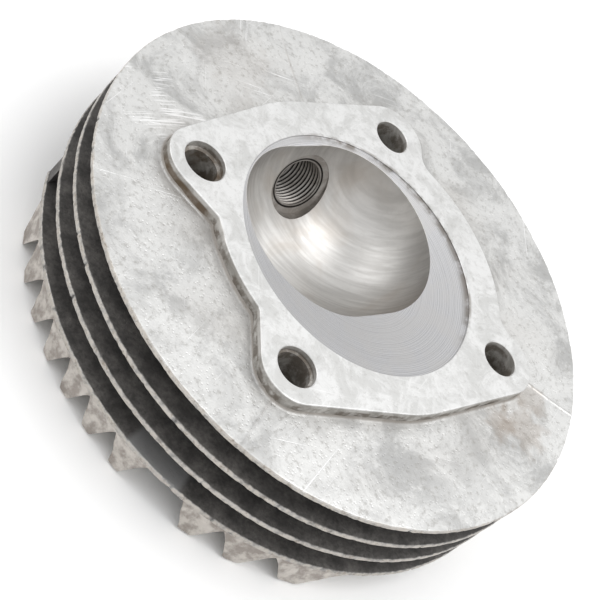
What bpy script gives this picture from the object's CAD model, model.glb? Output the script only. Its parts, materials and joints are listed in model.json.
# %% [markdown]
# # A used two-stroke cylinder head
#
# This file finishes a cylinder head whose sizes are already fixed by a CAD model. The head is one
# aluminium casting that was skimmed, bored and tapped, then run for years. Its CAD regions are
# replaced here, one for one or joined, by surfaces worked out with numpy, which add what a working
# drawing leaves out: rounded edges, casting fillets, a real screw thread, mould lines and dents.

# %% Load the frame
import json

import bpy
import bmesh
import numpy as np
from mathutils import Matrix, Vector


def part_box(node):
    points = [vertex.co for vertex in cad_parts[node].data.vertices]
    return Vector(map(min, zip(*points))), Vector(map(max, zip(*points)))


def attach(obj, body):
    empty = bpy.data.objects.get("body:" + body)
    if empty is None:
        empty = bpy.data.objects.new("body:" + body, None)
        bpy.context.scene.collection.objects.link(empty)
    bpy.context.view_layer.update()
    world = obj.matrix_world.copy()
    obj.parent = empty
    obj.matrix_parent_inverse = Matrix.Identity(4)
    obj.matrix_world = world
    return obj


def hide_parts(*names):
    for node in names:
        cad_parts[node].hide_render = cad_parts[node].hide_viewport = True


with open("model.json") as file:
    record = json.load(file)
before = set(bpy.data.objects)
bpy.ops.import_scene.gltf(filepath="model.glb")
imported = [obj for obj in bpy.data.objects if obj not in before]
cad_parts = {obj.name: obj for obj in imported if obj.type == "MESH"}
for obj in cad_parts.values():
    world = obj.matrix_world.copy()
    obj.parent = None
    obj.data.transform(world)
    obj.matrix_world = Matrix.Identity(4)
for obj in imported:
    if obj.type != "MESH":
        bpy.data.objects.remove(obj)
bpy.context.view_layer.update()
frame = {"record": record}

# %% [markdown]
# ## Sizes
#
# Every place comes from the CAD model: its node boxes and its mounts. The few sizes that only the
# looks need, such as the radius of a casting fillet, are named here in metres.

# %% Places from the frame
MM = 0.001
mounts = {mount["name"]: mount for mount in frame["record"]["mounts"]}
gasket_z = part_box("head_core")[1].z
crown_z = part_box("head_core")[0].z
fin_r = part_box("fin_plate_1")[1].x
studs = [Vector(mounts[f"stud_bore_{i}"]["pos_m"]).xy for i in range(1, 5)]
stud_bore_r = mounts["stud_bore_1"]["dims"]["r_mm"] * MM
plug_axis = np.array(mounts["plug_thread"]["axis"])
plug_mid = np.array(mounts["plug_thread"]["pos_m"])
thread_minor_r = mounts["plug_thread"]["dims"]["r_mm"] * MM
thread_l = mounts["plug_thread"]["dims"]["length_mm"] * MM
print("gasket face at", round(gasket_z, 5), "fin radius", round(fin_r, 5))

# %% Sizes of the casting
land_r = 43.0 * MM
waist_r = 40.0 * MM
waist_half = np.radians(17.0)
ear_r = 9.5 * MM
hollow_r = 6.0 * MM
chamber_r = 33.1 * MM
rim_step = 0.5 * MM
squish_slope = np.tan(np.radians(9.0))
bowl_r = 22.9 * MM
bowl_half_stretch = 5.1 * MM
bowl_centre = np.array([-0.9, 7.6]) * MM
fin_tip = 1.5 * MM
rib_pitch = 9.68 * MM
rib_foot_half = 4.84 * MM
rib_crest_r = 1.8 * MM
rib_nose_r = 0.8 * MM
short_rib = 8
short_rib_gap = 16.0 * MM
rib_turn = np.radians(7.0)
middle_rib_y = -1.3 * MM
recess_wall_t = 3.2 * MM
nut_seat_r = 9.5 * MM
socket_r = 12.0 * MM
plug_boss_r = 12.0 * MM
spanner_r = 15.0 * MM
relief_r = 8.6 * MM
thread_major_r = 7.0 * MM
thread_pitch = 1.25 * MM

# %% [markdown]
# ## From arrays to meshes
#
# A surface is a grid of points, P[i, j], computed as one array. Its quads join neighbours on the
# grid, and a direction that closes on itself, such as an angle, wraps round. This one helper turns
# any such grid into a closed mesh, so no loop ever touches a single vertex.

# %% Grid to mesh
def grid_faces(rows, columns):
    """Quads of a grid whose columns wrap round: (i, j), (i, j+1), (i+1, j+1), (i+1, j)."""
    i, j = np.meshgrid(np.arange(rows - 1), np.arange(columns), indexing="ij")
    k = (j + 1) % columns
    quads = np.stack([i * columns + j, i * columns + k, (i + 1) * columns + k, (i + 1) * columns + j], -1)
    return quads.reshape(-1, 4)


def strip_cap(columns, mirrored):
    """Faces of an end whose first points mirror each other: strips from side to side, and the rest."""
    half = mirrored // 2
    strips = [(j, j + 1, mirrored - 2 - j, mirrored - 1 - j) for j in range(half - 1)]
    tip = (half - 1, half, half + 1)
    return strips + [tip, (0, mirrored - 1, *range(mirrored, columns))]


def make_tube(name, points, closed=False, mirrored=0):
    """A mesh from points[row, column, xyz] whose columns wrap round.
    Open at its first and last row, it gets a flat cap there, or strips if its first points mirror
    each other; closed, its rows wrap round too."""
    rows, columns = points.shape[:2]
    if closed:
        points = np.concatenate([points, points[:1]])
        faces = grid_faces(rows + 1, columns) % (rows * columns)
        points = points[:rows]
    else:
        faces = grid_faces(rows, columns)
    polygons = faces.tolist()
    if not closed:
        cap = strip_cap(columns, mirrored) if mirrored else [tuple(range(columns))]
        polygons += cap + [[corner + (rows - 1) * columns for corner in face] for face in cap]
    mesh = bpy.data.meshes.new(name)
    mesh.from_pydata(points.reshape(-1, 3).tolist(), [], polygons)
    piece = bpy.data.objects.new(name, mesh)
    bpy.context.scene.collection.objects.link(piece)
    tidy_mesh(mesh)
    return piece


def tidy_mesh(mesh):
    """Merges points that coincide, drops empty faces and turns all faces outwards."""
    work = bmesh.new()
    work.from_mesh(mesh)
    bmesh.ops.remove_doubles(work, verts=work.verts, dist=1e-7)
    bmesh.ops.dissolve_degenerate(work, edges=work.edges, dist=1e-8)
    bmesh.ops.recalc_face_normals(work, faces=work.faces)
    work.to_mesh(mesh)
    work.free()


def combine(piece, tools, operation="DIFFERENCE"):
    """Cuts each tool out of piece, or joins it on, and applies the result to the mesh."""
    for tool in tools:
        step = piece.modifiers.new("cut", "BOOLEAN")
        step.operation = operation
        step.solver = "MANIFOLD"
        step.object = tool
    bpy.context.view_layer.update()
    done = bpy.data.meshes.new_from_object(piece.evaluated_get(bpy.context.evaluated_depsgraph_get()))
    piece.modifiers.clear()
    piece.data = done
    return piece


def smooth(piece, angle=32.0):
    """Smooth shading, with edges sharper than angle kept crisp and flat faces kept flat."""
    piece.data.polygons.foreach_set("use_smooth", np.ones(len(piece.data.polygons), bool))
    piece.data.set_sharp_from_angle(angle=np.radians(angle))
    flat = piece.modifiers.new("flat faces", "WEIGHTED_NORMAL")
    flat.keep_sharp = True
    return piece


# %% [markdown]
# ## Irregularity
#
# Nothing on a casting is quite straight. A ring noise is a sum of cosines with random phases, so it
# closes on itself round the head. A chip mask keeps only its rare peaks. Seeds are fixed, so the
# head has the same dents each time.

# %% Noise on rings and planes
def ring_noise(angle, seed, lowest, highest):
    """Sum over whole waves k of cos(k * angle + phase) / sqrt(count): smooth, closed, about -1 to 1."""
    rng = np.random.default_rng(seed)
    waves = np.unique(np.round(np.geomspace(lowest, highest, 14)))
    phases = rng.uniform(0, 2 * np.pi, waves.size)
    return np.cos(np.multiply.outer(angle, waves) + phases).sum(-1) / np.sqrt(waves.size)


def chips(angle, seed, lowest, highest, rarity):
    """The part of a ring noise above rarity, squared: a few separate chips and nothing between."""
    return np.clip(ring_noise(angle, seed, lowest, highest) - rarity, 0, None) ** 2


def plane_noise(x, y, seed, wavelength):
    """Sum of eight plane waves with random directions, about -1 to 1, over x and y in metres."""
    rng = np.random.default_rng(seed)
    turn = rng.uniform(0, 2 * np.pi, 8)
    size = wavelength * rng.uniform(0.6, 1.7, 8)
    phase = rng.uniform(0, 2 * np.pi, 8)
    run = np.multiply.outer(x, np.cos(turn)) + np.multiply.outer(y, np.sin(turn))
    return np.cos(2 * np.pi * run / size + phase).sum(-1) / np.sqrt(8)


# %% [markdown]
# ## The outline of the gasket land
#
# The land is a disc with four ears. Seen from the bore axis every direction meets the outline once,
# so the outline is a radius for each angle: the largest of the base circle, the ear circles, the
# straight flanks and the hollow corners. A short running average softens its corners, as sand does.

# %% Land outline as radius over angle
def turn_from(angle, start):
    """The signed difference angle - start, between -pi and pi."""
    return (angle - start + np.pi) % (2 * np.pi) - np.pi


def ear_reach(angle, centre):
    """Far crossing of a ray with the ear circle: c cos d + sqrt(r^2 - c^2 sin^2 d), or 0 off the ear."""
    distance = np.hypot(*centre)
    turn = turn_from(angle, np.arctan2(centre[1], centre[0]))
    inside = ear_r ** 2 - (distance * np.sin(turn)) ** 2
    reach = distance * np.cos(turn) + np.sqrt(np.clip(inside, 0, None))
    return np.where((inside > 0) & (np.abs(turn) < 1), reach, 0)


def line_reach(angle, normal, distance, start, end):
    """Crossing of a ray with a straight flank, distance / cos(angle - normal), from start to end."""
    along = (angle - start) % (2 * np.pi)
    reach = distance / np.clip(np.cos(turn_from(angle, normal)), 0.2, None)
    return np.where(along <= (end - start) % (2 * np.pi), reach, 0)


def half_outline(angle, front, rear):
    """The largest reach of every shape on the side of the two given studs, for angles 0 to pi."""
    distance = np.hypot(*front)
    front_a = np.arctan2(front[1], front[0])
    rear_a = np.arctan2(rear[1], rear[0])
    lean = np.arccos((land_r - ear_r) / distance)
    base = np.where(angle > np.pi - waist_half, waist_r, land_r)
    reach = np.maximum(base, np.maximum(ear_reach(angle, front), ear_reach(angle, rear)))
    for ear_a, ear, side in ((front_a, front, 1), (rear_a, rear, -1)):
        normal = ear_a + side * lean
        touch = ear + ear_r * np.array([np.cos(normal), np.sin(normal)])
        ends = sorted([normal, np.arctan2(touch[1], touch[0])])
        reach = np.maximum(reach, line_reach(angle, normal, land_r, *ends))
    corner = waist_r * np.array([-np.cos(waist_half), np.sin(waist_half)])
    back = corner - rear
    normal = np.arctan2(back[1], back[0]) - np.arccos(ear_r / np.hypot(*back))
    direction = np.array([np.cos(normal), np.sin(normal)])
    touch = rear + ear_r * direction
    flank = line_reach(angle, normal, corner @ direction, np.arctan2(touch[1], touch[0]), np.pi - waist_half)
    inner = (angle > np.arctan2(touch[1], touch[0])) & (angle < np.pi - waist_half)
    reach = np.where(inner, flank, reach)
    far, near = land_r + hollow_r, ear_r + hollow_r
    swing = np.arccos((far ** 2 + distance ** 2 - near ** 2) / (2 * far * distance))
    hollow_a = front_a - swing
    turn = angle - hollow_a
    under = hollow_r ** 2 - (far * np.sin(turn)) ** 2
    hollow = far * np.cos(turn) - np.sqrt(np.clip(under, 0, None))
    centre = far * np.array([np.cos(hollow_a), np.sin(hollow_a)])
    meet = centre + (front - centre) * hollow_r / near
    inside = (turn > 0) & (angle < np.arctan2(meet[1], meet[0])) & (under > 0)
    return np.where(inside, np.maximum(hollow, land_r), reach)


def land_outline(count=900):
    """Points evenly spaced along the outline, their outward normals, and their angles."""
    angle = np.linspace(-np.pi, np.pi, 7200, endpoint=False)
    front, rear = np.array(studs[0]), np.array(studs[1])
    reach = half_outline(np.abs(angle), front, rear)
    kernel = np.hanning(31)
    wrapped = np.concatenate([reach[-15:], reach, reach[:15]])
    reach = np.convolve(wrapped, kernel / kernel.sum(), "valid")
    points = np.stack([reach * np.cos(angle), reach * np.sin(angle)], -1)
    closed = np.concatenate([points, points[:1]])
    length = np.concatenate([[0], np.hypot(*np.diff(closed, axis=0).T).cumsum()])
    even = np.linspace(0, length[-1], count, endpoint=False)
    points = np.stack([np.interp(even, length, closed[:, k]) for k in (0, 1)], -1)
    tangent = np.roll(points, -2, 0) - np.roll(points, 2, 0)
    tangent /= np.hypot(*tangent.T)[:, None]
    normals = np.stack([tangent[:, 1], -tangent[:, 0]], -1)
    return points, normals, np.arctan2(points[:, 1], points[:, 0])


outline, outward, outline_angle = land_outline()
print("land outline:", len(outline), "points, reach", round(float(np.hypot(*outline.T).max()), 4))

# %% [markdown]
# ## Cutting tools
#
# The head was machined, so it is made the same way here: a plain block, then tools that take
# material out of it. The plug tool is a bar whose radius depends on the angle and on the distance
# along it, and a screw thread is just a triangle wave of distance minus angle.

# %% Plug hole tool with its thread
plug_side = np.cross([0, 0, 1.0], plug_axis)
plug_side /= np.linalg.norm(plug_side)
plug_up = np.cross(plug_axis, plug_side)


def along_plug(radius, distance, angle):
    """Points at a radius and angle round the plug axis, at a distance outwards from mid-thread."""
    spoke = np.multiply.outer(np.cos(angle), plug_side) + np.multiply.outer(np.sin(angle), plug_up)
    return plug_mid + radius[..., None] * spoke + distance[..., None] * plug_axis


def thread_radius(distance, angle):
    """Minor radius plus a triangle wave of distance / pitch - angle / turn, faded in at both ends."""
    wave = np.abs(((distance / thread_pitch - angle / (2 * np.pi)) % 1) * 2 - 1)
    flank = np.clip(wave * 1.25 - 0.1, 0, 1)
    ends = np.clip((thread_l / 2 - np.abs(distance)) / (0.6 * thread_pitch), 0, 1)
    return thread_minor_r - 0.03 * MM + (thread_major_r - thread_minor_r) * flank * ends


def plug_tool():
    """Relief, thread, seat and spanner way in one bar: radius over (distance, angle)."""
    turn = np.linspace(0, 2 * np.pi, 120, endpoint=False)
    half = thread_l / 2
    inner = np.array([-16.0 * MM, -half - 0.35 * MM])
    thread = np.linspace(-half, half, 233)
    distance = np.concatenate([inner, thread, [half + 0.001 * MM, 60 * MM]])
    grid, angle = np.meshgrid(distance, turn, indexing="ij")
    radius = thread_radius(grid, angle)
    radius[:2] = relief_r
    radius[-2:] = spanner_r
    return make_tube("plug tool", along_plug(radius, grid, angle))


def plug_bar(radius, start, end):
    """A plain round bar on the plug axis with rounded end edges."""
    turn = np.linspace(0, 2 * np.pi, 96, endpoint=False)
    distance = np.array([start, end - 0.5 * MM, end])
    grid, angle = np.meshgrid(distance, turn, indexing="ij")
    reach = np.full(grid.shape, radius)
    reach[-1] -= 0.5 * MM
    return make_tube("plug bar", along_plug(reach, grid, angle))


# %% [markdown]
# The chamber tool is one grid. Its columns run round a stadium, the round bowl drawn out along X.
# Its rows climb the bowl from the bottom line, leave it where it meets the squish cone, cross the
# cone to the rim, and go straight up the little step that the cylinder's spigot sits in.

# %% Chamber tool
def stadium(count):
    """Middle-line points e(u) and unit normals n(u) round a stadium: two half turns, two straights."""
    arc = np.pi * bowl_r
    straight = 2 * bowl_half_stretch
    run = np.linspace(0, 2 * (arc + straight), count, endpoint=False)
    lap = arc + straight
    first = run < lap
    along = np.where(first, run, run - lap)
    bend = np.clip(along / bowl_r, 0, np.pi) - np.pi / 2
    slide = np.clip((along - arc) / straight, 0, 1)
    x = bowl_half_stretch * (1 - 2 * slide)
    sign = np.where(first, 1.0, -1.0)
    middle = np.stack([x * sign, np.zeros(count)], -1)
    normal = np.stack([np.cos(bend) * sign, np.sin(bend) * sign], -1)
    return middle + bowl_centre, normal


def squish_z(radius):
    """Height of the squish cone at a distance from the bore axis."""
    return gasket_z - rim_step - (chamber_r - radius) * squish_slope


def chamber_tool(columns=360):
    """Rows up the bowl, over its lip, across the squish cone, up the step and over a cap."""
    middle, normal = stadium(columns)
    tilt = np.full(columns, 0.1)
    for _ in range(12):
        lip = middle + bowl_r * np.cos(tilt)[:, None] * normal
        tilt = np.arcsin((gasket_z - squish_z(np.hypot(*lip.T))) / bowl_r)
    climb = np.linspace(0, 1, 46)[:, None]
    rise = np.pi / 2 + (tilt - np.pi / 2) * climb
    bowl_xy = middle + bowl_r * np.cos(rise)[..., None] * normal
    bowl = np.concatenate([bowl_xy, (gasket_z - bowl_r * np.sin(rise))[..., None]], -1)
    share = np.linspace(0, 1, 26)[1:, None, None]
    rim = lip / np.hypot(*lip.T)[:, None] * (chamber_r - 0.15 * MM)
    cone_xy = lip + (rim - lip) * share
    cone = np.concatenate([cone_xy, squish_z(np.hypot(cone_xy[..., 0], cone_xy[..., 1]))[..., None]], -1)
    unit = rim / np.hypot(*rim.T)[:, None]
    steps = ((0, -rim_step + 0.1 * MM), (0, -0.12 * MM), (0.14 * MM, 0.02 * MM), (0.2 * MM, 3 * MM))
    walls = [np.column_stack([unit * (chamber_r + out), np.full(columns, gasket_z + up)]) for out, up in steps]
    return make_tube("chamber tool", np.concatenate([bowl, cone, np.stack(walls)]))


# %% Stud and socket tools
def turned_tool(name, centre, profile, count=72):
    """A bar turned about a vertical axis: profile rows are (radius, height), from the bottom up."""
    turn = np.linspace(0, 2 * np.pi, count, endpoint=False)
    radius, height = np.array(profile).T
    x = centre[0] + np.multiply.outer(radius, np.cos(turn))
    y = centre[1] + np.multiply.outer(radius, np.sin(turn))
    z = np.repeat(height[:, None], count, 1)
    return make_tube(name, np.stack([x, y, z], -1))


def stud_tool(i, centre):
    """The stud bore, with a small chamfer, or on the rear pair a shallow counterbore, at its mouth."""
    top = gasket_z + 1 * MM
    profile = [(stud_bore_r, 0.0)]
    if i in (1, 2):
        counter_r, depth = (np.array([5.5, 2.2]) * MM, np.array([5.2, 1.7]) * MM)[i - 1]
        mouth_r = counter_r + 0.3 * MM
        profile += [(stud_bore_r, gasket_z - depth - 0.3 * MM), (counter_r, gasket_z - depth)]
        profile += [(counter_r, gasket_z - 0.2 * MM), (mouth_r, gasket_z + 0.1 * MM), (mouth_r, top)]
    else:
        profile += [(stud_bore_r, gasket_z - 0.25 * MM), (stud_bore_r + 0.35 * MM, gasket_z + 0.1 * MM)]
        profile += [(stud_bore_r + 0.35 * MM, top)]
    return turned_tool(f"stud tool {i}", centre, profile)


def socket_tool(i, centre):
    """Room for a socket spanner round a nut: a plain round bar below the crown plate."""
    return turned_tool(f"socket tool {i}", centre, [(socket_r, -1 * MM), (socket_r, crown_z)])


chamber = chamber_tool()
plug = plug_tool()
stud_tools = [stud_tool(i, studs[i]) for i in range(4)]
socket_tools = [socket_tool(i, studs[i]) for i in range(4)]
tools = [chamber, plug, *stud_tools, *socket_tools]
print("tools:", [(tool.name, len(tool.data.polygons)) for tool in tools])

# %% [markdown]
# ## The core
#
# The land and the block under it are one prism of the outline. Its top edge is rounded over by about
# a third of a millimetre, more where the edge was knocked. The boss of the plug hole is joined on,
# then the chamber, the stud holes and the plug hole are cut in the order a workshop would use.

# %% Core block
def core_block():
    """Rings of the outline: each row moves it inwards by a distance and sets its height."""
    knock = chips(outline_angle, 11, 9, 160, 1.15)
    knock += 1.3 * np.exp(-(turn_from(outline_angle, np.radians(168)) / np.radians(4)) ** 2)
    edge = (0.32 + 0.5 * np.clip(knock, 0, 1.6)) * MM
    bend = np.linspace(np.pi / 2, 0, 6)[:, None]
    inset = edge * (1 - np.cos(bend))
    drop = edge * (1 - np.sin(bend))
    top = outline - inset[..., None] * outward
    rounded = np.concatenate([top, (gasket_z - drop)[..., None]], -1)
    wander = 0.12 * MM * ring_noise(outline_angle, 12, 6, 60)
    levels = gasket_z - np.array([1.2, 2.4, 3.4, 6.0, 14.0]) * MM
    walls = [np.column_stack([outline + (wander * share)[:, None] * outward, np.full(len(outline), level)])
             for level, share in zip(levels, (0.4, 0.9, 1.0, 0.0, 0.0))]
    foot = np.column_stack([outline, np.full(len(outline), crown_z)])
    return make_tube("core", np.concatenate([rounded, np.stack(walls), foot[None]]))


core = core_block()
boss = plug_bar(plug_boss_r, -7.0 * MM, thread_l / 2 + 0.0005 * MM)
combine(core, [boss], "UNION")
combine(core, [chamber, plug, *stud_tools])
smooth(core)
print("core:", len(core.data.polygons), "faces")

# %% [markdown]
# ## The fins
#
# A fin is a ring: for each direction, a profile runs from the foot on the land, along the upper side,
# round the rim and back underneath. The foot has a casting fillet, the sides have draft, and the rim
# is only a millimetre and a half thick, with edges that years of handling have chipped. The mould had
# three joints, and each left a thin raised line across the upper side of every fin.

# %% Fin rings
MOULD_LINES = np.radians([79.4, 216.4, 316.3])


def fillet(distance, radius):
    """Height of a quarter-round fillet at a distance from a wall: r - sqrt(r^2 - (r - d)^2)."""
    inside = np.clip(radius - distance, 0, radius)
    return radius - np.sqrt(np.clip(radius ** 2 - inside ** 2, 0, None))


def mould_line(x, y, radius, seed):
    """A low ridge about each mould joint, its width wandering, gone close to the land."""
    angle = np.arctan2(y, x)
    height = np.zeros(np.shape(x))
    for k, line in enumerate(MOULD_LINES):
        wander = 0.25 * MM * np.sin(radius / (5 * MM) + seed + k)
        side = radius * turn_from(angle, line) - wander
        height += 0.16 * MM * np.exp(-(side / (0.32 * MM)) ** 2)
    return height * np.clip((radius - 45 * MM) / (3 * MM), 0, 1)


def rim_angles(count):
    """Angles round the rim, close together at the mould lines and even elsewhere."""
    angle = np.linspace(-np.pi, np.pi, count, endpoint=False)
    extra = [turn_from(line + np.linspace(-1, 1, 15) * np.radians(0.75), 0) for line in MOULD_LINES]
    return np.unique(np.concatenate([angle, *extra]))


def fin_ring(name, top, seed, upper, lower, reach=None, foot_r=1.0 * MM):
    """One closed ring. Rows run out along the upper side, round the rim and back underneath.
    Height of a side = rim height + (fin radius - radius) * tan(draft), plus fillet and mould line."""
    angle = rim_angles(720)
    inner = np.interp(angle, outline_angle, np.hypot(*outline.T), period=2 * np.pi) - 0.06 * MM
    outer = np.full(angle.shape, fin_r) if reach is None else np.minimum(fin_r, reach(angle))
    dent = 0.22 * MM * chips(angle, seed, 30, 330, 0.75)
    dent = dent + 0.02 * MM * (ring_noise(angle, seed + 1, 60, 340) + 1)
    outer = outer - np.clip(dent, 0, 0.3 * MM)
    near = np.geomspace(0.05, 3.2, 12) * MM
    share = np.linspace(0, 1, 16)[1:-1]
    edge = 0.3 * MM * (1 + 0.8 * np.clip(ring_noise(angle, seed + 2, 20, 300), 0, 1.5))
    bend = np.linspace(0, np.pi / 2, 6)[:, None]

    def side(radius, distance, slope, sign, level):
        x, y = radius * np.cos(angle), radius * np.sin(angle)
        z = level + sign * (fin_r - radius) * slope + sign * fillet(distance, foot_r)
        z = z + 0.05 * MM * plane_noise(x, y, seed + 3, 22 * MM)
        if sign > 0:
            z = z + mould_line(x, y, radius, seed)
        return np.stack([x, y, z], -1)

    above, below = np.tan(np.radians(upper)), np.tan(np.radians(lower))
    near_r = inner + near[:, None]
    far_r = near_r[-1] + (outer - edge - near_r[-1]) * share[:, None]
    flat_r = np.concatenate([near_r, far_r])
    gap = flat_r - inner
    upper_rows = side(flat_r, gap, above, 1, top)
    lower_rows = side(flat_r, gap, below, -1, top - fin_tip)[::-1]
    round_r = outer - edge + edge * np.sin(bend)
    no_wall = np.full(round_r.shape, 1.0)
    upper_edge = side(round_r, no_wall, above, 1, top)
    upper_edge[..., 2] -= edge * (1 - np.cos(bend))
    lower_edge = side(round_r, no_wall, below, -1, top - fin_tip)[::-1]
    lower_edge[..., 2] += (edge * (1 - np.cos(bend)))[::-1]
    return make_tube(name, np.concatenate([upper_rows, upper_edge, lower_edge, lower_rows]), closed=True)


fin_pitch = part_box("fin_plate_1")[1].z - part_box("fin_plate_2")[1].z
fin_tops = {f"fin_{i}": crown_z + fin_tip + (4 - i) * fin_pitch for i in (1, 2, 3)}
fins = {}
for number, (name, top) in enumerate(fin_tops.items()):
    fins[name] = fin_ring(name, top, 40 + 7 * number, 0.4, 2.8)
for name in ("fin_2", "fin_3"):
    combine(fins[name], [plug])
for fin in fins.values():
    smooth(fin, 50)
print("fins:", {name: len(fin.data.polygons) for name, fin in fins.items()})

# %% [markdown]
# ## The crown plate and the recess wall
#
# The fourth fin is the floor that the crown ribs stand on. On the plug side it stops at a wall, and
# beyond it the last gap is open, so that a spanner can reach the plug.

# %% Crown plate
recess_y = middle_rib_y + 5 * rib_pitch
recess_edge = recess_y + recess_wall_t / 2


def crown_reach(angle):
    """Distance to the straight edge of the recess: edge / cos(angle - its normal)."""
    turn = turn_from(angle, np.pi / 2 + rib_turn)
    return np.where(np.cos(turn) > 0.05, recess_edge / np.clip(np.cos(turn), 0.05, None), 1.0)


crown = fin_ring("crown", crown_z + fin_tip, 70, 2.5, 0.0, crown_reach)
combine(crown, [plug])
smooth(crown, 50)


# %% Recess wall
def turn_ribs(x, y):
    """Turns rib coordinates, along and across the ribs, into the frame's x and y."""
    return x * np.cos(rib_turn) - y * np.sin(rib_turn), x * np.sin(rib_turn) + y * np.cos(rib_turn)


def recess_wall():
    """A straight wall with a rounded section, its ends cut on the fins' cylinder."""
    turn = np.linspace(0, 2 * np.pi, 32, endpoint=False)
    half = recess_wall_t / 2 - 0.02 * MM
    across = half * np.sign(np.cos(turn)) * np.abs(np.cos(turn)) ** 0.25
    low, high = crown_z + 0.8 * MM, fin_tops["fin_3"] - fin_tip + 0.4 * MM
    height = (low + high) / 2 + (high - low) / 2 * np.sign(np.sin(turn)) * np.abs(np.sin(turn)) ** 0.25
    along = np.linspace(-1, 1, 60)[:, None]
    y = recess_y + across
    reach = np.sqrt((fin_r - 0.35 * MM) ** 2 - y ** 2)
    x, y = turn_ribs(along * reach, np.broadcast_to(y, (60, 32)))
    return make_tube("recess_web", np.stack([x, y, np.broadcast_to(height, (60, 32))], -1))


web = combine(recess_wall(), [plug])
smooth(web, 50)

# %% [markdown]
# ## The crown ribs
#
# Each rib is one section swept along a straight line. Both ends lie on the fins' cylinder, because
# the run is scaled, for each point of the section, to end where that point meets the cylinder:
# x = v * sqrt(R^2 - y^2). The section wanders slowly along the run, since the pattern was carved by
# hand, and its ends are ragged where the casting was fettled with a coarse file.

# %% Rib sweep
def rib_section():
    """Half-width over height: a foot, drafted flanks tangent to a round crest, as (across, up).
    Its first 49 points mirror each other; the last two close it inside the crown plate."""
    crest = np.array([0, rib_crest_r])
    foot = np.array([rib_foot_half - 0.25 * MM, crown_z])
    back = foot - crest
    flank = np.arctan2(back[1], back[0]) - np.arccos(rib_crest_r / np.hypot(*back))
    arc = np.linspace(flank, -np.pi - flank, 17)
    round_points = crest + rib_crest_r * np.stack([np.cos(arc), np.sin(arc)], -1)
    share = np.linspace(0, 1, 17)[:-1, None]
    down = foot + (round_points[0] - foot) * share
    down[:, 0] += 0.55 * MM * (1 - share[:, 0]) ** 6
    up = down[::-1] * [-1, 1]
    top = down[0] + [0.05 * MM, 0.5 * MM]
    return np.concatenate([down, round_points, up, [top * [-1, 1], top]])


def nose(height):
    """How far a rib's end is rounded back at a height over its crest: R - sqrt(R^2 - (R - h)^2)."""
    low = np.clip(rib_nose_r - height, 0, rib_nose_r)
    return rib_nose_r - np.sqrt(rib_nose_r ** 2 - low ** 2)


def crown_rib(k, y0):
    """Points (v, u): v runs from end to end, u round the section."""
    section = rib_section()
    run = -np.cos(np.linspace(0, np.pi, 90))[:, None]
    across = y0 + section[:, 0]
    reach = np.sqrt(np.clip(fin_r ** 2 - across ** 2, 0, None))
    rag = 0.22 * MM * plane_noise(across, section[:, 1], 90 + k, 5 * MM)
    rag = np.clip(rag + 0.35 * MM, 0.05 * MM, 1.0 * MM) + nose(section[:, 1])
    x = run * (reach - rag)
    if k == short_rib:
        x = np.maximum(x, short_rib_gap - reach + 1.5 * nose(section[:, 1]))
    wander = 0.18 * MM * plane_noise(x, 0 * x + 3 * k * MM, 120 + k, 26 * MM)
    lift = 0.16 * MM * plane_noise(x, 0 * x + 9 * k * MM, 150 + k, 18 * MM)
    fade = np.clip((crown_z - section[:, 1]) / crown_z, 0, 1)
    y = across + wander * fade
    z = np.maximum(section[:, 1] + np.abs(lift) * fade, 0) + 0 * x
    x_turned, y_turned = turn_ribs(x, y)
    return make_tube(f"rib_{k:02d}", np.stack([x_turned, y_turned, z], -1), mirrored=len(section) - 2)


def near_socket(y0, centre):
    """Whether a rib at y0 passes the socket room round a stud."""
    across = -centre[0] * np.sin(rib_turn) + centre[1] * np.cos(rib_turn)
    return abs(across - y0) < socket_r + rib_foot_half


ribs = {}
for k in range(1, 12):
    y0 = middle_rib_y + (5 - k) * rib_pitch
    rib = crown_rib(k, y0)
    cuts = [tool for tool, centre in zip(socket_tools, studs) if near_socket(y0, centre)]
    if k < 4:
        cuts.append(plug)
    if cuts:
        combine(rib, cuts)
    smooth(rib, 40)
    ribs[rib.name] = rib
print("ribs:", {name: len(rib.data.polygons) for name, rib in ribs.items()})


# %% Nut seats
def nut_seat(i, centre):
    """A ring turned about the stud: up the bore, over a chamfer, down the outside."""
    low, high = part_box(f"nut_seat_{i + 1}")[0].z, crown_z + 0.3 * MM
    bore = stud_bore_r + 0.03 * MM
    profile = [(bore, high), (bore, low + 0.4 * MM), (bore + 0.4 * MM, low), (nut_seat_r - 0.5 * MM, low),
               (nut_seat_r - 0.15 * MM, low + 0.15 * MM), (nut_seat_r, low + 0.5 * MM), (nut_seat_r, high)]
    turn = np.linspace(0, 2 * np.pi, 72, endpoint=False)
    radius, height = np.array(profile).T
    x = centre[0] + np.multiply.outer(radius, np.cos(turn))
    y = centre[1] + np.multiply.outer(radius, np.sin(turn))
    return make_tube(f"seat_{i + 1}", np.stack([x, y, np.repeat(height[:, None], 72, 1)], -1), closed=True)


seats = [smooth(nut_seat(i, studs[i])) for i in range(4)]
for tool in tools + [boss]:
    bpy.data.objects.remove(tool)

# %% [markdown]
# ## Shader nodes in few words
#
# Materials are built from small node groups. A group is a named effect, such as mottle or scratches,
# with its own inputs and outputs, built once and used wherever the metal shows it. Two helpers keep
# the building readable: one adds a node and fills its inputs, one opens a new group.

# %% Node helpers
def add(tree, kind, inputs=None, **settings):
    """Adds a shader node, sets its properties, and links or fills its inputs by name or number."""
    node = tree.nodes.new("ShaderNode" + kind)
    for name, value in settings.items():
        setattr(node, name, value)
    for name, value in (inputs or {}).items():
        if isinstance(value, bpy.types.NodeSocket):
            tree.links.new(value, node.inputs[name])
        else:
            node.inputs[name].default_value = value
    return node


def calc(tree, operation, *values):
    """A Math node's result."""
    return add(tree, "Math", dict(enumerate(values)), operation=operation).outputs[0]


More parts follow.
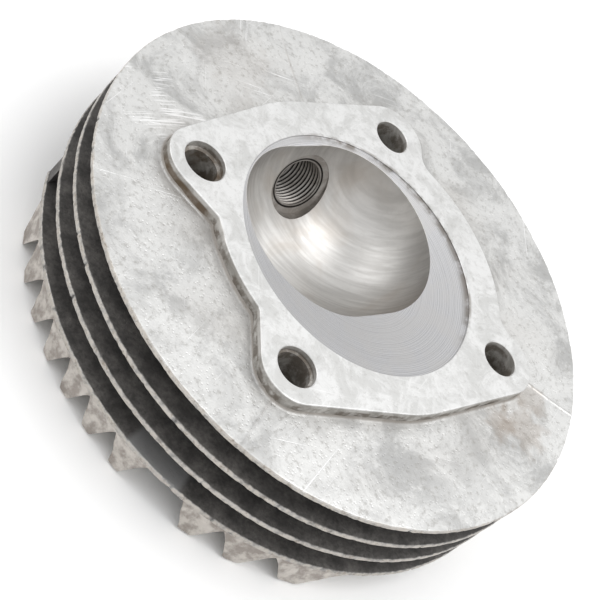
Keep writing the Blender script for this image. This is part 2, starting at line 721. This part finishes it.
def spread(tree, value, low, high, to_low=0.0, to_high=1.0):
    """A value mapped smoothly from low..high to to_low..to_high, and held at its ends."""
    inputs = {"Value": value, "From Min": low, "From Max": high, "To Min": to_low, "To Max": to_high}
    return add(tree, "MapRange", inputs, interpolation_type="SMOOTHSTEP").outputs[0]


def blend(tree, share, first, second):
    """Colour first where share is 0, second where it is 1."""
    node = tree.nodes.new("ShaderNodeMix")
    node.data_type = "RGBA"
    for socket, value in ((node.inputs[0], share), (node.inputs[6], first), (node.inputs[7], second)):
        if isinstance(value, bpy.types.NodeSocket):
            tree.links.new(value, socket)
        else:
            socket.default_value = (*value, 1.0) if isinstance(value, tuple) else value
    return node.outputs[2]


def noise(tree, scale, detail=4.0, roughness=0.55, vector=None, distortion=0.0):
    """Fractal noise, 0 to 1, over Object coordinates unless another vector is given."""
    vector = vector or add(tree, "TexCoord").outputs["Object"]
    inputs = {"Vector": vector, "Scale": scale, "Detail": detail, "Roughness": roughness,
              "Distortion": distortion}
    return add(tree, "TexNoise", inputs).outputs[0]


def new_group(name, inputs, outputs):
    """An empty node group: inputs are (name, default) floats, outputs are names of floats."""
    tree = bpy.data.node_groups.new(name, "ShaderNodeTree")
    for label, default in inputs:
        socket = tree.interface.new_socket(name=label, in_out="INPUT", socket_type="NodeSocketFloat")
        socket.default_value = default
    for label in outputs:
        tree.interface.new_socket(name=label, in_out="OUTPUT", socket_type="NodeSocketFloat")
    return tree, tree.nodes.new("NodeGroupInput"), tree.nodes.new("NodeGroupOutput")


def use(tree, group, **inputs):
    """Places a group in a material and fills its inputs; underscores stand for spaces."""
    node = tree.nodes.new("ShaderNodeGroup")
    node.node_tree = group
    for label, value in inputs.items():
        socket = node.inputs[label.replace("_", " ")]
        if isinstance(value, bpy.types.NodeSocket):
            tree.links.new(value, socket)
        else:
            socket.default_value = value
    return node.outputs


# %% [markdown]
# ## Shared effects
#
# - polar: distance from the bore axis and angle round it, for anything turned on a lathe
# - mottle: the cloudy patches and fine pits of sand-cast aluminium
# - scratches: short straight marks that run three ways, and rubs, which run nearly one way
# - soot: the black film that oil and heat leave between the fins, worn away at the rim
# - stain: one soft-edged spot of burnt oil at a place on the casting

# %% Effect groups
def polar_group():
    tree, _, result = new_group("polar", [], ["Radius", "Angle", "Height"])
    parts = add(tree, "SeparateXYZ", {0: add(tree, "TexCoord").outputs["Object"]}).outputs
    squares = [calc(tree, "MULTIPLY", part, part) for part in (parts[0], parts[1])]
    square = calc(tree, "ADD", *squares)
    tree.links.new(calc(tree, "SQRT", square), result.inputs["Radius"])
    tree.links.new(calc(tree, "ARCTAN2", parts[1], parts[0]), result.inputs["Angle"])
    tree.links.new(parts[2], result.inputs["Height"])
    return tree


def mottle_group():
    tree, given, result = new_group("mottle", [("Patch scale", 110.0)], ["Patches", "Speckle", "Relief"])
    wide = noise(tree, given.outputs["Patch scale"], 9.0, 0.72, distortion=0.6)
    tree.links.new(spread(tree, wide, 0.40, 0.60), result.inputs["Patches"])
    fine = noise(tree, 650.0, 5.0, 0.75)
    tree.links.new(spread(tree, fine, 0.50, 0.68), result.inputs["Speckle"])
    vector = add(tree, "TexCoord").outputs["Object"]
    cells = add(tree, "TexVoronoi", {"Vector": vector, "Scale": 900.0, "Randomness": 1.0}).outputs["Distance"]
    pits = spread(tree, cells, 0.06, 0.3)
    rough = noise(tree, 2600.0, 2.0)
    soft = noise(tree, 420.0, 3.0)
    relief = calc(tree, "ADD", calc(tree, "MULTIPLY", pits, 0.5), calc(tree, "MULTIPLY", rough, 0.25))
    relief = calc(tree, "ADD", relief, calc(tree, "MULTIPLY", soft, 0.8))
    tree.links.new(relief, result.inputs["Relief"])
    return tree


def scratch_group(name, runs):
    """Fine straight marks. Each run is (turn about +Z, frequency along the marks, frequency across)."""
    tree, given, result = new_group(name, [("Amount", 0.5), ("Density", 0.0)], ["Mask"])
    low = calc(tree, "SUBTRACT", 0.66, given.outputs["Density"])
    high = calc(tree, "ADD", low, 0.08)
    total = None
    for turn, along, across in runs:
        vector = add(tree, "TexCoord").outputs["Object"]
        turned = add(tree, "VectorRotate", {"Vector": vector, "Angle": turn}, rotation_type="Z_AXIS").outputs[0]
        slim = add(tree, "Mapping", {"Vector": turned, "Scale": (along, across, 300.0)}).outputs[0]
        lines = spread(tree, noise(tree, 1.0, 2.0, 0.5, slim), low, high)
        where = spread(tree, noise(tree, 45.0 + 10 * turn, 2.0), 0.5, low)
        lines = calc(tree, "MULTIPLY", lines, where)
        total = lines if total is None else calc(tree, "MAXIMUM", total, lines)
    tree.links.new(calc(tree, "MULTIPLY", total, given.outputs["Amount"]), result.inputs["Mask"])
    return tree


def soot_group(polar):
    inputs = [("Rim", 69.85 * MM), ("Bare above", 1.0)]
    tree, given, result = new_group("soot", inputs, ["Mask", "Rim mask"])
    place = use(tree, polar)
    ragged = calc(tree, "MULTIPLY", calc(tree, "SUBTRACT", noise(tree, 700.0, 4.0), 0.5), 0.7 * MM)
    radius = calc(tree, "ADD", place["Radius"], ragged)
    start = calc(tree, "SUBTRACT", given.outputs["Rim"], 0.15 * MM)
    end = calc(tree, "ADD", given.outputs["Rim"], 0.15 * MM)
    rim = add(tree, "MapRange", {"Value": radius, "From Min": start, "From Max": end}).outputs[0]
    bare = calc(tree, "GREATER_THAN", place["Height"], given.outputs["Bare above"])
    mask = calc(tree, "MULTIPLY", calc(tree, "SUBTRACT", 1.0, rim), calc(tree, "SUBTRACT", 1.0, bare))
    tree.links.new(mask, result.inputs["Mask"])
    tree.links.new(rim, result.inputs["Rim mask"])
    return tree


def stain_group():
    inputs = [("X", 0.0), ("Y", 0.0), ("Z", 0.0), ("Size", 5 * MM)]
    tree, given, result = new_group("stain", inputs, ["Mask"])
    spot = add(tree, "CombineXYZ", {k: given.outputs[k] for k in ("X", "Y", "Z")}).outputs[0]
    vector = add(tree, "TexCoord").outputs["Object"]
    reach = add(tree, "VectorMath", {0: vector, 1: spot}, operation="DISTANCE").outputs["Value"]
    share = calc(tree, "DIVIDE", reach, given.outputs["Size"])
    ragged = calc(tree, "MULTIPLY", calc(tree, "SUBTRACT", noise(tree, 260.0, 5.0), 0.5), 1.6)
    share = calc(tree, "ADD", share, ragged)
    tree.links.new(spread(tree, share, 1.0, 0.45), result.inputs["Mask"])
    return tree


POLAR = polar_group()
MOTTLE = mottle_group()
SCRATCHES = scratch_group("scratches", ((0.35, 28.0, 1900.0), (2.05, 40.0, 2300.0), (-0.5, 22.0, 1500.0)))
RUBS = scratch_group("rubs", ((0.09, 24.0, 1700.0), (0.02, 32.0, 2300.0), (0.17, 20.0, 1300.0)))
SOOT = soot_group(POLAR)
STAIN = stain_group()

# %% [markdown]
# ## Finishes
#
# All of it is the same aluminium, and only its history differs: faces skimmed on a lathe, a bowl
# rubbed bright, skins left by the sand mould, and flanks black with burnt oil.

# %% Material helper
def new_material(name):
    """A material with a Principled shader wired to its output."""
    material = bpy.data.materials.new(name)
    material.use_nodes = True
    tree = material.node_tree
    tree.nodes.clear()
    shader = add(tree, "BsdfPrincipled")
    output = add(tree, "OutputMaterial")
    tree.links.new(shader.outputs[0], output.inputs[0])
    return material, tree, shader


def finish(tree, shader, colour, roughness, metallic, height, depth):
    """Feeds the Principled shader: colour, roughness, metallic share, and relief through a Bump."""
    bump = add(tree, "Bump", {"Height": height, "Strength": 1.0, "Distance": depth})
    for label, value in (("Base Color", colour), ("Roughness", roughness), ("Metallic", metallic)):
        if isinstance(value, bpy.types.NodeSocket):
            tree.links.new(value, shader.inputs[label])
        else:
            shader.inputs[label].default_value = value
    tree.links.new(bump.outputs[0], shader.inputs["Normal"])


# %% Fin metal
def fin_material(name, top, bare_above=1.0, patch=0.0):
    """Bare mottled metal above a height and at the rim, soot on every other flank."""
    material, tree, shader = new_material(name)
    place = use(tree, POLAR)
    cast = use(tree, MOTTLE, Patch_scale=70.0)
    marks = use(tree, SCRATCHES, Amount=0.8)["Mask"]
    soot = use(tree, SOOT, Bare_above=bare_above)
    broad = spread(tree, noise(tree, 38.0, 6.0, 0.6), 0.4, 0.62)
    metal = blend(tree, cast["Patches"], (0.43, 0.43, 0.425), (0.66, 0.66, 0.65))
    metal = blend(tree, calc(tree, "MULTIPLY", broad, 0.5), metal, (0.72, 0.72, 0.71))
    metal = blend(tree, calc(tree, "MULTIPLY", cast["Speckle"], 0.5), metal, (0.30, 0.29, 0.27))
    metal = blend(tree, marks, metal, (0.86, 0.86, 0.86))
    rubbed = use(tree, STAIN, X=-36 * MM, Y=47 * MM, Z=gasket_z - 3.5 * MM, Size=20 * MM)["Mask"]
    rubs = calc(tree, "MULTIPLY", use(tree, RUBS, Amount=0.8, Density=0.11)["Mask"], rubbed)
    metal = blend(tree, rubs, metal, (0.92, 0.92, 0.92))
    foot = spread(tree, calc(tree, "SUBTRACT", place["Height"], top), 0.05 * MM, 0.5 * MM)
    metal = blend(tree, calc(tree, "MULTIPLY", foot, 0.75), metal, (0.22, 0.19, 0.16))
    for x, y, size, depth in ((31, -49, 9, 0.35), (24, -47, 6, 0.4), (38, -43, 6, 0.3), (-8, 58, 14, 0.12)):
        spot = use(tree, STAIN, X=x * MM, Y=y * MM, Z=gasket_z - 3.5 * MM, Size=size * MM)["Mask"]
        metal = blend(tree, calc(tree, "MULTIPLY", spot, depth), metal, (0.26, 0.20, 0.15))
    rim = blend(tree, cast["Speckle"], (0.50, 0.47, 0.43), (0.28, 0.245, 0.21))
    metal = blend(tree, soot["Rim mask"], metal, rim)
    cloud = spread(tree, noise(tree, 160.0, 6.0, 0.65), 0.35, 0.7)
    black = blend(tree, cloud, (0.075, 0.071, 0.068), (0.18, 0.17, 0.16))
    grain = spread(tree, noise(tree, 900.0, 4.0, 0.7), 0.35, 0.7)
    black = blend(tree, calc(tree, "MULTIPLY", grain, 0.5), black, (0.030, 0.028, 0.027))
    if patch:
        sector = calc(tree, "ABSOLUTE", calc(tree, "ADD", place["Angle"], np.radians(151.0)))
        outer = spread(tree, place["Radius"], 58 * MM, 61 * MM)
        clean = calc(tree, "MULTIPLY", spread(tree, sector, 0.13, 0.10), outer)
        black = blend(tree, calc(tree, "MULTIPLY", clean, patch), black, (0.26, 0.26, 0.26))
    colour = blend(tree, soot["Mask"], metal, black)
    rough = spread(tree, cast["Patches"], 0.0, 1.0, 0.56, 0.42)
    dull = calc(tree, "MAXIMUM", soot["Mask"], foot)
    roughness = calc(tree, "ADD", rough, calc(tree, "MULTIPLY", dull, 0.25))
    metallic = calc(tree, "SUBTRACT", 0.9, calc(tree, "MULTIPLY", dull, 0.75))
    relief = calc(tree, "ADD", cast["Relief"], calc(tree, "MULTIPLY", marks, -0.5))
    finish(tree, shader, colour, roughness, metallic, relief, 0.10 * MM)
    return material


# %% Machined metal
def worn_side(tree, place):
    """1 on the +X side of the chamber rim, where gas leaked past the gasket, and 0 on the other."""
    turned = calc(tree, "COSINE", calc(tree, "SUBTRACT", place["Angle"], np.radians(20)))
    return spread(tree, turned, 0.15, 0.6)


def land_material():
    """The skimmed gasket face, and under its edge the dull cast wall with oil in its corner."""
    material, tree, shader = new_material("gasket_land")
    place = use(tree, POLAR)
    cast = use(tree, MOTTLE, Patch_scale=140.0)
    marks = use(tree, SCRATCHES, Amount=0.55)["Mask"]
    face = blend(tree, cast["Patches"], (0.60, 0.60, 0.59), (0.74, 0.74, 0.735))
    face = blend(tree, calc(tree, "MULTIPLY", cast["Speckle"], 0.3), face, (0.38, 0.37, 0.35))
    face = blend(tree, marks, face, (0.86, 0.86, 0.86))
    wall = blend(tree, cast["Patches"], (0.34, 0.325, 0.30), (0.56, 0.545, 0.52))
    low = spread(tree, place["Height"], gasket_z - 1.0 * MM, gasket_z - 1.6 * MM)
    crust = calc(tree, "MULTIPLY", low, spread(tree, noise(tree, 240.0, 5.0, 0.65), 0.40, 0.58))
    wall = blend(tree, calc(tree, "MULTIPLY", crust, 0.75), wall, (0.13, 0.105, 0.08))
    oil = use(tree, STAIN, X=-40 * MM, Y=22 * MM, Z=gasket_z - 2 * MM, Size=13 * MM)["Mask"]
    oily = calc(tree, "MULTIPLY", calc(tree, "MULTIPLY", oil, low), 0.7)
    wall = blend(tree, oily, wall, (0.12, 0.075, 0.035))
    near_rim = spread(tree, place["Radius"], chamber_r + 0.9 * MM, chamber_r + 0.1 * MM)
    near_rim = calc(tree, "MULTIPLY", near_rim, worn_side(tree, place))
    grime = calc(tree, "MULTIPLY", near_rim, spread(tree, noise(tree, 190.0, 5.0, 0.6), 0.42, 0.62))
    face = blend(tree, calc(tree, "MULTIPLY", grime, 0.7), face, (0.20, 0.175, 0.15))
    high = spread(tree, place["Height"], gasket_z - 0.4 * MM, gasket_z - 0.08 * MM)
    colour = blend(tree, high, wall, face)
    roughness = spread(tree, high, 0.0, 1.0, 0.72, 0.44)
    metallic = spread(tree, high, 0.0, 1.0, 0.6, 0.92)
    finish(tree, shader, colour, roughness, metallic, cast["Relief"], 0.035 * MM)
    return material


def squish_material():
    """The squish band: fine rings left by the lathe tool, round the bore axis."""
    material, tree, shader = new_material("squish_band")
    place = use(tree, POLAR)
    cast = use(tree, MOTTLE, Patch_scale=120.0)
    wobble = calc(tree, "MULTIPLY", noise(tree, 60.0, 2.0), 0.5 * MM)
    radius = calc(tree, "ADD", place["Radius"], wobble)
    rings = calc(tree, "SINE", calc(tree, "MULTIPLY", radius, 2 * np.pi / (0.42 * MM)))
    streak = add(tree, "TexNoise", {"W": calc(tree, "MULTIPLY", place["Radius"], 1500.0), "Detail": 3.0},
                 noise_dimensions="1D").outputs[0]
    colour = blend(tree, spread(tree, streak, 0.3, 0.7), (0.34, 0.34, 0.35), (0.62, 0.62, 0.63))
    colour = blend(tree, calc(tree, "MULTIPLY", cast["Patches"], 0.45), colour, (0.50, 0.49, 0.48))
    edge = spread(tree, place["Radius"], chamber_r - 2.2 * MM, chamber_r - 0.1 * MM)
    edge = calc(tree, "MULTIPLY", edge, worn_side(tree, place))
    grime = calc(tree, "MULTIPLY", edge, spread(tree, noise(tree, 210.0, 5.0, 0.62), 0.40, 0.60))
    colour = blend(tree, calc(tree, "MULTIPLY", grime, 0.8), colour, (0.16, 0.14, 0.12))
    height = calc(tree, "ADD", calc(tree, "MULTIPLY", rings, 0.25), streak)
    finish(tree, shader, colour, spread(tree, streak, 0.3, 0.7, 0.46, 0.34), 1.0, height, 0.035 * MM)
    shader.inputs["Anisotropic"].default_value = 0.3
    return material


def bowl_material():
    """The rubbed bowl: bright, with soft arcs of rubbing and a breath of brown combustion film."""
    material, tree, shader = new_material("bowl")
    vector = add(tree, "TexCoord").outputs["Object"]
    cast = use(tree, MOTTLE, Patch_scale=100.0)
    turned = add(tree, "VectorRotate", {"Vector": vector, "Angle": 0.9}, rotation_type="Z_AXIS").outputs[0]
    slim = add(tree, "Mapping", {"Vector": turned, "Scale": (70.0, 900.0, 110.0)}).outputs[0]
    rub = noise(tree, 1.0, 3.0, 0.5, slim, 0.3)
    colour = blend(tree, spread(tree, rub, 0.3, 0.7), (0.50, 0.49, 0.475), (0.62, 0.61, 0.595))
    film = spread(tree, noise(tree, 55.0, 4.0, 0.55, distortion=0.8), 0.48, 0.68)
    colour = blend(tree, calc(tree, "MULTIPLY", film, 0.4), colour, (0.40, 0.35, 0.30))
    side = add(tree, "SeparateXYZ", {0: vector}).outputs[1]
    strength = spread(tree, film, 0.0, 1.0, 0.6, 0.9)
    burnt = calc(tree, "MULTIPLY", spread(tree, side, -4 * MM, -14 * MM), strength)
    colour = blend(tree, burnt, colour, (0.30, 0.26, 0.225))
    colour = blend(tree, calc(tree, "MULTIPLY", cast["Speckle"], 0.08), colour, (0.3, 0.28, 0.25))
    roughness = spread(tree, rub, 0.3, 0.7, 0.45, 0.38)
    finish(tree, shader, colour, roughness, 1.0, rub, 0.012 * MM)
    return material


def thread_material():
    """The tapped hole: darker, with carbon in the roots."""
    material, tree, shader = new_material("plug_thread")
    cast = use(tree, MOTTLE, Patch_scale=150.0)
    off = add(tree, "VectorMath", {0: add(tree, "TexCoord").outputs["Object"], 1: tuple(plug_mid)},
              operation="SUBTRACT").outputs[0]
    off = add(tree, "VectorMath", {0: off, 1: tuple(plug_axis)}, operation="CROSS_PRODUCT").outputs[0]
    off = add(tree, "VectorMath", {0: off}, operation="LENGTH").outputs["Value"]
    deep = spread(tree, off, 6.45 * MM, 6.8 * MM)
    root = calc(tree, "MULTIPLY", deep, spread(tree, off, 7.2 * MM, 7.05 * MM))
    colour = blend(tree, cast["Patches"], (0.27, 0.25, 0.23), (0.40, 0.38, 0.36))
    colour = blend(tree, root, colour, (0.012, 0.010, 0.009))
    finish(tree, shader, colour, 0.45, 0.85, cast["Relief"], 0.012 * MM)
    return material


def crown_material():
    """The crown: dull sand-cast skin, lighter on the flanks and brown where it was filed."""
    material, tree, shader = new_material("crown_cast")
    place = use(tree, POLAR)
    cast = use(tree, MOTTLE, Patch_scale=120.0)
    skin = blend(tree, cast["Patches"], (0.50, 0.48, 0.45), (0.72, 0.70, 0.67))
    skin = blend(tree, calc(tree, "MULTIPLY", cast["Speckle"], 0.3), skin, (0.24, 0.215, 0.19))
    ends = spread(tree, place["Radius"], 69.0 * MM, 69.25 * MM)
    file_marks = spread(tree, noise(tree, 330.0, 5.0, 0.6), 0.38, 0.62)
    filed = blend(tree, file_marks, (0.27, 0.235, 0.21), (0.56, 0.525, 0.485))
    colour = blend(tree, calc(tree, "MULTIPLY", ends, 0.8), skin, filed)
    finish(tree, shader, colour, 0.6, 0.75, cast["Relief"], 0.14 * MM)
    return material


# %% Hand out the materials
LAND, SQUISH, BOWL, THREAD, CROWN = (make() for make in (
    land_material, squish_material, bowl_material, thread_material, crown_material))


def dress(piece, materials, slot, *replaced):
    """Gives a piece its materials, its place on the body, its record slot and the nodes it stands for."""
    piece.data.materials.clear()
    for material in materials:
        piece.data.materials.append(material)
    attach(piece, "root")
    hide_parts(*replaced)


def zone_core(piece):
    """Material number of each face of the core, from where its centre lies: 0 land, 1 squish band,
    2 bowl, 3 thread and relief, 4 crown side."""
    count = len(piece.data.polygons)
    centre = np.empty(3 * count)
    piece.data.polygons.foreach_get("center", centre)
    centre = centre.reshape(-1, 3)
    radius = np.hypot(centre[:, 0], centre[:, 1])
    along = (centre - plug_mid) @ plug_axis
    off = np.linalg.norm(centre - plug_mid - along[:, None] * plug_axis, axis=1)
    away = centre[:, :2] - bowl_centre
    away[:, 0] -= np.clip(away[:, 0], -bowl_half_stretch, bowl_half_stretch)
    from_bowl = np.sqrt((away ** 2).sum(1) + (centre[:, 2] - gasket_z) ** 2)
    zone = np.zeros(count, np.int32)
    height = centre[:, 2]
    inside = (radius < chamber_r + 0.05 * MM) & (height < gasket_z - 0.05 * MM) & (height > crown_z + 1 * MM)
    zone[inside] = 1
    zone[inside & (np.abs(from_bowl - bowl_r) < 0.12 * MM)] = 2
    zone[(off < relief_r + 0.01 * MM) & (along > -14 * MM)] = 3
    zone[(height < crown_z + 0.2 * MM) | (along > thread_l / 2 - 0.05 * MM)] = 4
    piece.data.polygons.foreach_set("material_index", zone)
    print("core zones:", np.bincount(zone, minlength=5).tolist())


dress(core, [LAND, SQUISH, BOWL, THREAD, CROWN], "machined_face", "head_core", "plug_boss")
zone_core(core)
for number, (name, fin) in enumerate(fins.items()):
    bare_above = fin_tops[name] - 0.45 * MM if number == 0 else 1.0
    metal = fin_material(f"{name}_cast", fin_tops[name], bare_above)
    dress(fin, [metal], "cast_fin", f"fin_plate_{number + 1}")
dress(crown, [fin_material("crown_flank", gasket_z, patch=0.8)], "cast_crown", "crown_plate")
dress(web, [fin_material("recess_cast", gasket_z)], "cast_crown", "recess_wall")
for k, rib in enumerate(ribs.values(), 1):
    dress(rib, [CROWN], "cast_crown", f"crown_rib_{k:02d}")
for i, seat in enumerate(seats, 1):
    dress(seat, [CROWN], "cast_crown", f"nut_seat_{i}")

# %% [markdown]
# ## Studio
#
# The head lies on a pale sweep under large soft lights. The camera looks down at it from the -X, -Y
# side and is rolled a little, as a hand-held camera is.

# %% Floor
def floor():
    """A wide pale sheet at the level that the ribs rest on."""
    mesh = bpy.data.meshes.new("floor")
    half = 3.0
    corners = [(-half, -half, 0), (half, -half, 0), (half, half, 0), (-half, half, 0)]
    mesh.from_pydata(corners, [], [(0, 1, 2, 3)])
    sheet = bpy.data.objects.new("floor", mesh)
    bpy.context.scene.collection.objects.link(sheet)
    material, _, shader = new_material("floor_paper")
    shader.inputs["Base Color"].default_value = (0.94, 0.94, 0.94, 1)
    shader.inputs["Roughness"].default_value = 0.9
    mesh.materials.append(material)


# %% Camera
right = Vector((0.71940, -0.39155, 0.57372))
up = Vector((0.07570, 0.86525, 0.49558))
back = right.cross(up)
camera_data = bpy.data.cameras.new("camera")
camera_data.lens = 110.46
camera_data.sensor_width = 36.0
camera_data.clip_start = 0.01
camera = bpy.data.objects.new("camera", camera_data)
place = Vector((-0.31088, -0.14011, 0.26942 + gasket_z))
camera.matrix_world = Matrix.Translation(place) @ Matrix((right, up, back)).transposed().to_4x4()
bpy.context.scene.collection.objects.link(camera)
bpy.context.scene.camera = camera


# %% Lights
def soft_light(name, direction, distance, size, power):
    """A square area light at a distance from the head in a direction, facing it."""
    data = bpy.data.lights.new(name, "AREA")
    data.shape = "SQUARE"
    data.size = size
    data.energy = power
    light = bpy.data.objects.new(name, data)
    direction = direction.normalized()
    light.location = Vector((0, 0, gasket_z)) + direction * distance
    light.rotation_euler = direction.to_track_quat("Z", "Y").to_euler()
    bpy.context.scene.collection.objects.link(light)


floor()
soft_light("key", 1.0 * right + 0.35 * up + 0.6 * back, 1.1, 0.9, 5.0)
soft_light("fill", -0.5 * right + 1.0 * up + 0.7 * back, 1.2, 1.0, 3.0)
soft_light("low", -0.8 * right - 0.6 * up + 0.5 * back, 1.2, 0.8, 3.0)
world = bpy.data.worlds.new("studio")
world.use_nodes = True
world.node_tree.nodes["Background"].inputs[0].default_value = (1.0, 1.0, 1.0, 1)
world.node_tree.nodes["Background"].inputs[1].default_value = 1.0
bpy.context.scene.world = world
bpy.context.scene.view_settings.view_transform = "Standard"
